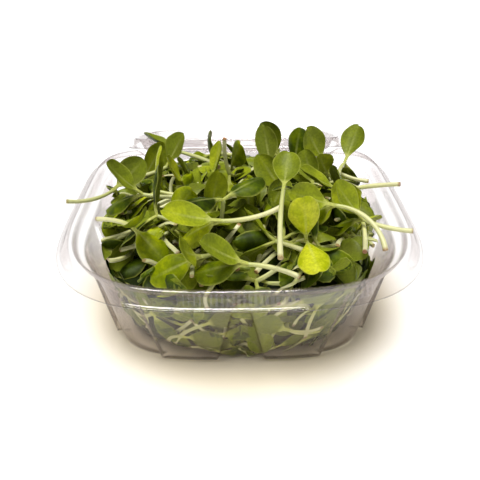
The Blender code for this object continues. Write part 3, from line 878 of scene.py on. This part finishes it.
def bumps(tree, height, strength, distance):
    """The normal bent by a height, whose full depth is distance in metres."""
    inputs = {"Height": height, "Strength": strength, "Distance": distance}
    return add(tree, "ShaderNodeBump", inputs).outputs[0]


def noise(tree, scale, detail=2.0):
    """Noise through the object's own space, scale in cells a metre: 1000 has patches of 1 mm."""
    place = add(tree, "ShaderNodeTexCoord").outputs["Object"]
    inputs = {"Vector": place, "Scale": scale, "Detail": detail}
    return add(tree, "ShaderNodeTexNoise", inputs).outputs["Fac"]


def clear_pet():
    """Thermoformed PET sheet 0.5 mm thick: passes light straight through, reflects by Schlick's formula
    F = F0 + (1 - F0) (1 - cos)^5, and is painted greyer where one looks along it, as at its bends and
    edges: painted shade standing in for the dark lines that refraction gives there.
    Its gloss wavers over dents about 17 mm across, and ribs run along the front of the rim's inner step."""
    made, tree = new_material("clear_pet_sheet")
    place = add(tree, "ShaderNodeTexCoord").outputs["Object"]
    across, depth, high = add(tree, "ShaderNodeSeparateXYZ", {0: place}).outputs
    rib = worked(tree, "SINE", worked(tree, "MULTIPLY", across, 2 * math.pi / RIB_PITCH))
    on_step = (fade(tree, high, *RIB_LOW), fade(tree, high, *RIB_HIGH), fade(tree, depth, *RIB_FRONT))
    height = worked(tree, "ADD", noise(tree, 60.0), worked(tree, "MULTIPLY", rib, *on_step, 0.5))
    dents = bumps(tree, height, 0.3, 0.00025)
    glance = add(tree, "ShaderNodeLayerWeight").outputs["Facing"]
    # Grey where one looks along the sheet, at its bends and edges, is painted shade standing in for the dark
    # lines that refraction gives there.
    painted_edge_shade = mix(tree, fade(tree, glance, 0.4, 0.8), "#FEFDFD", "#E2DEDD")
    painted_edge_shade = mix(tree, fade(tree, glance, 0.8, 1.0), painted_edge_shade, "#9A9492")
    passed = add(tree, "ShaderNodeBsdfTransparent", {"Color": painted_edge_shade}).outputs[0]
    shine = add(
        tree, "ShaderNodeBsdfPrincipled",
        {"Base Color": "#F1ECEA", "Roughness": 0.07, "Metallic": 1.0, "Normal": dents},
    ).outputs[0]
    bent = add(tree, "ShaderNodeLayerWeight", {"Normal": dents}).outputs["Facing"]
    share = worked(tree, "MULTIPLY", worked(tree, "POWER", bent, 5.0), 1 - PET_REFLECTS)
    share = worked(tree, "ADD", share, PET_REFLECTS)
    both = add(tree, "ShaderNodeMixShader", {0: share, 1: passed, 2: shine}).outputs[0]
    return finished(made, both)


def seed_leaf(low):
    """The skin of a sunflower seed leaf: yellow-green to deep green by its tone, paler along its
    middle, at its margin and beneath, in patches of about 8 mm and specks of 1 mm, satin. Light
    glows through it. The copy for the sprouts low in the heap lets less light through: a shaded
    copy, painted shade for the greens lying deep in the heap."""
    made, tree = new_material("sunflower_seed_leaf_shaded_copy" if low else "sunflower_seed_leaf")
    tone, along = point_value(tree, "tone"), point_value(tree, "along")
    across, upper = point_value(tree, "across"), point_value(tree, "upper")
    patches = noise(tree, 130.0)
    speckle = noise(tree, 900.0, 4.0)
    tone = worked(tree, "ADD", tone, fade(tree, patches, 0.3, 0.7, -0.14, 0.14))
    colour = ramp(tree, tone, (
        (0.0, "#1B2603"), (0.3, "#495B03"), (0.6, "#808E03"), (0.85, "#B2BC06"), (1.0, "#CDD02A")
    ))
    under = worked(tree, "MULTIPLY", worked(tree, "SUBTRACT", 1.0, upper), 0.4)
    colour = mix(tree, under, colour, "#A0A932")
    margin = fade(tree, across, 0.88, 1.0, 0.0, 0.45)
    colour = mix(tree, margin, colour, "#BCC058")
    rib = worked(tree, "MULTIPLY", fade(tree, across, 0.16, 0.03), fade(tree, along, 1.0, 0.0, 0.03, 0.4))
    colour = mix(tree, rib, colour, "#CBCE78")
    stalk = fade(tree, along, 0.14, -0.02)
    colour = mix(tree, stalk, colour, "#C3C766")
    colour = mix(tree, fade(tree, speckle, 0.35, 0.65, 0.0, 0.22), colour, "#2B421A", "MULTIPLY")
    height = worked(tree, "ADD", speckle, worked(tree, "MULTIPLY", patches, 2.0))
    bump = bumps(tree, height, 0.3, 0.0004)
    skin = add(
        tree, "ShaderNodeBsdfPrincipled",
        {"Base Color": colour, "Roughness": fade(tree, speckle, 0.2, 0.8, 0.34, 0.5), "Normal": bump,
         "Specular IOR Level": 0.15},
    ).outputs[0]
    glow = add(tree, "ShaderNodeBsdfTranslucent", {"Color": colour}).outputs[0]
    # The copy for sprouts low in the heap glows less: a shaded copy that paints shade on them.
    both = add(tree, "ShaderNodeMixShader", {0: 0.06 if low else 0.1, 1: skin, 2: glow}).outputs[0]
    return finished(made, both)


def pale_stem():
    """The stem's skin: green-yellow under the leaves, nearly white lower down, brown at the cut, with
    streaks of about 2 mm. It is juicy, so light spreads a little way inside."""
    made, tree = new_material("sunflower_stem")
    along, tone = point_value(tree, "along"), point_value(tree, "tone")
    streak = noise(tree, 420.0, 3.0)
    colour = ramp(tree, along, (
        (0.0, "#B9BF66"), (0.955, "#E2DDAC"), (0.25, "#D0CF86"), (0.55, "#DEDBA0"), (1.0, "#96603A")
    ))
    colour = mix(tree, fade(tree, tone, 0.9, 0.1, 0.0, 0.55), colour, "#B0B676")
    colour = mix(tree, fade(tree, streak, 0.45, 0.75, 0.0, 0.3), colour, "#B7B67C")
    bump = bumps(tree, streak, 0.25, 0.0003)
    skin = add(
        tree, "ShaderNodeBsdfPrincipled",
        {"Base Color": colour, "Roughness": 0.36, "Normal": bump, "Subsurface Weight": 0.12,
         "Subsurface Radius": (0.002, 0.0018, 0.0008), "Subsurface Scale": 0.6},
    ).outputs[0]
    return finished(made, skin)


def studio_floor():
    """White studio paper, matt, with 1 mm grain, and a painted warm shadow that turns it cream round the
    bowl's foot.
    """
    made, tree = new_material("studio_paper")
    place = add(tree, "ShaderNodeTexCoord").outputs["Object"]
    distance = add(tree, "ShaderNodeVectorMath", {0: place}, operation="LENGTH").outputs["Value"]
    # Cream near the middle is painted shadow round the bowl's foot.
    colour = mix(tree, fade(tree, distance, *FOOT_SHADOW_REACH), "#F0E4CB", "#FFFFFF")
    bump = bumps(tree, noise(tree, 800.0), 0.05, 0.0002)
    paper = add(
        tree, "ShaderNodeBsdfPrincipled", {"Base Color": colour, "Roughness": 0.9, "Normal": bump},
    ).outputs[0]
    return finished(made, paper)


# ---- settings, operators and panel

class MICROGREENS_PG_sheet(bpy.types.PropertyGroup):
    """The clear bowl and lid."""
    step: bpy.props.FloatProperty(name="Step", description="Columns' distance, mm", default=2.0, min=0.5)
    waviness: bpy.props.FloatProperty(
        name="Waviness", description="Unevenness of the formed walls, mm", default=0.18, min=0.0, max=1.0
    )


class MICROGREENS_PG_greens(bpy.types.PropertyGroup):
    """The sprouts in the bowl."""
    tone: bpy.props.FloatProperty(
        name="Tone", description="From deep green, 0, to yellow, 1", default=0.5, min=0.0, max=1.0
    )
    wall: bpy.props.IntProperty(
        name="Wall sprouts", description="Sprouts that lie against the wall", default=230, min=0
    )
    under: bpy.props.IntProperty(
        name="Under sprouts", description="Sprouts just under the heap's top", default=210, min=0
    )


class MICROGREENS_PG_stage(bpy.types.PropertyGroup):
    """The studio."""
    light: bpy.props.FloatProperty(name="Light", description="Strength of the lamps", default=1.0, min=0.0)


def slotted_strip(xs, ys):
    """A level strip over a grid of xs and ys, with a row of short slots left out: points and quads."""
    grid_x, grid_y = np.meshgrid(xs, ys, indexing="ij")
    points = np.stack([grid_x, grid_y, np.full(grid_x.shape, LEDGE_Z)], -1).reshape(-1, 3)
    near = (np.arange(len(xs) - 1)[:, None] * len(ys) + np.arange(len(ys) - 1)).ravel()
    quads = np.stack([near, near + len(ys), near + len(ys) + 1, near + 1], -1)
    x, y, _ = points[quads].mean(1).T
    slot = (np.abs((x + 3) % 6 - 3) < 2) & (np.abs(y - HINGE_Y + 1.6) < 0.45)
    return points, quads[~slot]


class MICROGREENS_OT_bowl(bpy.types.Operator):
    """Builds the bowl"""
    bl_idname = "microgreens.bowl"
    bl_label = "Bowl"

    def execute(self, context):
        settings = context.scene.microgreens_sheet
        columns = fine_columns(COLUMNS, settings.step)
        bowl = sheet_piece("bowl_sheet", clear_pet(), *dish(bowl_rings(columns, settings.waviness)))
        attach(bowl, BOWL_BODY)
        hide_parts("base_tray")
        return {"FINISHED"}


class MICROGREENS_OT_hinge(bpy.types.Operator):
    """Builds the slotted strip behind the rim and the thin fold that the lid turns on"""
    bl_idname = "microgreens.hinge"
    bl_label = "Hinge"

    def execute(self, context):
        look = clear_pet()
        xs = np.arange(-TAB_HALF - 3.0, TAB_HALF + 3.5, 1.0)
        ys = HINGE_Y - np.array([HINGE_Y - HALF_DEPTH - 0.35, 2.05, 1.6, 1.15, HINGE_GAP])
        strip = sheet_piece("hinge_sheet", look, *slotted_strip(xs, ys))
        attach(strip, BOWL_BODY)
        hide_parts("hinge_strip")
        start, end = HINGE_Y - HINGE_GAP, HINGE_Y + HINGE_GAP
        x, share = np.meshgrid(np.linspace(-TAB_HALF, TAB_HALF, 47), np.linspace(0, 1, 9), indexing="ij")
        upper = np.stack([x, start + (end - start) * share, LEDGE_Z - 0.1 - 0.35 * share ** 2], -1)
        rings = np.concatenate([upper, (upper - [0, 0, 0.2])[:, ::-1]], axis=1)
        fold = new_piece("hinge_fold", [look], *faced_out(tube(rings)), sharp=40)
        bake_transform(fold)
        return {"FINISHED"}


class MICROGREENS_OT_lid(bpy.types.Operator):
    """Builds the lid, open"""
    bl_idname = "microgreens.lid"
    bl_label = "Lid"

    def execute(self, context):
        settings = context.scene.microgreens_sheet
        columns = fine_columns(COLUMNS, settings.step)
        rings = lid_rings(columns)
        panel = np.clip((rings[0][0, 0] - np.abs(rings[:, :, :1]).max(axis=1) - 24) / 8, 0, 1)[..., None]
        rings[:, :, 2:] += ripple(rings, settings.waviness)[..., None] * panel
        points, quads, tris = dish(np.array([open_lid(ring) for ring in rings]))
        lid = sheet_piece("lid_sheet", clear_pet(), points, quads[:, ::-1], tris[:, ::-1])
        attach(lid, LID_BODY)
        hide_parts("lid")
        return {"FINISHED"}


class MICROGREENS_OT_greens(bpy.types.Operator):
    """Lays the sprouts: the ones on top, each its own piece, and the filling under and round them"""
    bl_idname = "microgreens.greens"
    bl_label = "Greens"

    def execute(self, context):
        settings = context.scene.microgreens_greens
        looks = [seed_leaf(False), pale_stem()]
        rng = np.random.default_rng(TONE_SEED)
        for number, (shape, turn, spot) in enumerate(heap(SPROUTS, TRIES), start=1):
            tone = rng.uniform(-0.4, 0.35)
            if number <= len(SHOWN_TONES):
                tone = SHOWN_TONES[number - 1]
            skins = moved(sprout_skins(shape, settings.tone + tone, rng, FINE), turn, spot)
            sprout = new_piece(f"green_{number:02d}", looks, *joined(skins))
            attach(sprout, BOWL_BODY)
            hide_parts(f"sprout_{number:02d}")
            give_way(sprout)
        # The filling wears the shaded copy of the leaf: painted shade for the greens deep in the heap.
        shaded_looks = [seed_leaf(True), pale_stem()]
        # The wall sprouts' tones run darker than the top sprouts': painted shade in their leaves and stems.
        wall = filling(settings.wall, WALL_SEED, wall_sprout, WALL_ROOF, (0.0, 0.6))
        # A dark core under the wall sprouts: painted shade for the greens deep in the bowl.
        wall.append(shade_core(FLOOR_Z + 2.0, BED_EDGE_Z - 2.0, BED_TOP_Z - 2.0, 0.0))
        packed = new_piece("greens_packed", shaded_looks, *joined(wall))
        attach(packed, BOWL_BODY)
        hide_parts("packed_sprouts")
        # The under sprouts' tones run darker than the top sprouts' too: painted shade under the top of the
        # heap.
        under = filling(settings.under, UNDER_SEED, under_sprout, UNDER_ROOF, (0.05, 0.65))
        # A dark core under the top sprouts: painted shade.
        under.append(shade_core(BED_EDGE_Z - 4.0, MOUND_EDGE_Z - 5.0, MOUND_TOP_Z - 5.0, 0.0))
        loose = new_piece("greens_loose", shaded_looks, *joined(under))
        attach(loose, BOWL_BODY)
        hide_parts("loose_sprouts")
        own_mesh(loose)
        return {"FINISHED"}


def lamp(name, spot, spread, power):
    """A large soft light far off in the direction of spot, spread degrees across as seen from the bowl."""
    light = bpy.data.lights.new(name, "SUN")
    light.energy = power
    light.angle = math.radians(spread)
    made = placed(name, light)
    made.location = spot
    made.rotation_euler = (Vector(LAMP_AIM) - Vector(spot)).to_track_quat("-Z", "Y").to_euler()


class MICROGREENS_OT_stage(bpy.types.Operator):
    """Sets the white floor, the soft lights and the camera"""
    bl_idname = "microgreens.stage"
    bl_label = "Stage"

    def execute(self, context):
        scene = context.scene
        strength = scene.microgreens_stage.light
        world = scene.world = bpy.data.worlds.new("studio_white")
        world.use_nodes = True
        sky = world.node_tree.nodes["Background"]
        sky.inputs["Color"].default_value = linear("#FFFFFF")
        seen = add(world.node_tree, "ShaderNodeLightPath").outputs["Is Camera Ray"]
        shade = fade(world.node_tree, seen, 0.0, 1.0, SKY_LIGHT * strength, 1.0)
        world.node_tree.links.new(shade, sky.inputs["Strength"])
        mesh = bpy.data.meshes.new("studio_floor")
        corners = ((-1, -1), (1, -1), (1, 1), (-1, 1))
        points = [(x * FLOOR_SIDE, y * FLOOR_SIDE, -FLOOR_DROP) for x, y in corners]
        mesh.from_pydata(points, [], [(0, 1, 2, 3)])
        mesh.materials.append(studio_floor())
        floor = placed("studio_floor", mesh)
        for name, (spot, spread, power) in LAMPS.items():
            lamp(name, spot, spread, power * strength)
        scene.view_settings.view_transform = "Standard"
        scene.cycles.transparent_max_bounces = 32
        rise, turn = math.radians(CAMERA_RISE), math.radians(CAMERA_TURN)
        back = Vector((math.sin(turn) * math.cos(rise), -math.cos(turn) * math.cos(rise), math.sin(rise)))
        camera = placed("camera", bpy.data.cameras.new("camera"))
        camera.location = Vector(CAMERA_AIM) + back * CAMERA_DISTANCE
        look = back.to_track_quat("Z", "Y").to_matrix()
        camera.rotation_euler = (look @ Euler((0, 0, math.radians(CAMERA_ROLL))).to_matrix()).to_euler()
        camera.data.lens = CAMERA_LENS
        camera.data.sensor_width = 36.0
        camera.data.shift_x, camera.data.shift_y = CAMERA_SHIFT
        camera.data.clip_start = 0.01
        scene.camera = camera
        return {"FINISHED"}


class MICROGREENS_PT_panel(bpy.types.Panel):
    """The settings, and a button for each piece"""
    bl_label = "Microgreens bowl"
    bl_idname = "MICROGREENS_PT_panel"
    bl_space_type = "VIEW_3D"
    bl_region_type = "UI"
    bl_category = "Microgreens"

    def draw(self, context):
        for settings in ("microgreens_sheet", "microgreens_greens", "microgreens_stage"):
            group = getattr(context.scene, settings)
            for name in group.bl_rna.properties.keys():
                if name not in ("name", "rna_type"):
                    self.layout.prop(group, name)
        for operator in BUILDERS:
            self.layout.operator(operator.bl_idname)


BUILDERS = (
    MICROGREENS_OT_bowl, MICROGREENS_OT_hinge, MICROGREENS_OT_lid, MICROGREENS_OT_greens, MICROGREENS_OT_stage
)
SETTINGS = {
    "microgreens_sheet": MICROGREENS_PG_sheet,
    "microgreens_greens": MICROGREENS_PG_greens,
    "microgreens_stage": MICROGREENS_PG_stage,
}
CLASSES = (*SETTINGS.values(), *BUILDERS, MICROGREENS_PT_panel)


def register():
    for cls in CLASSES:
        bpy.utils.register_class(cls)
    for name, group in SETTINGS.items():
        setattr(bpy.types.Scene, name, bpy.props.PointerProperty(type=group))


def unregister():
    for name in SETTINGS:
        delattr(bpy.types.Scene, name)
    for cls in reversed(CLASSES):
        bpy.utils.unregister_class(cls)


def main():
    """Builds every piece."""
    register()
    bpy.ops.microgreens.bowl()
    bpy.ops.microgreens.hinge()
    bpy.ops.microgreens.lid()
    bpy.ops.microgreens.greens()
    bpy.ops.microgreens.stage()


if __name__ == "__main__":
    main()
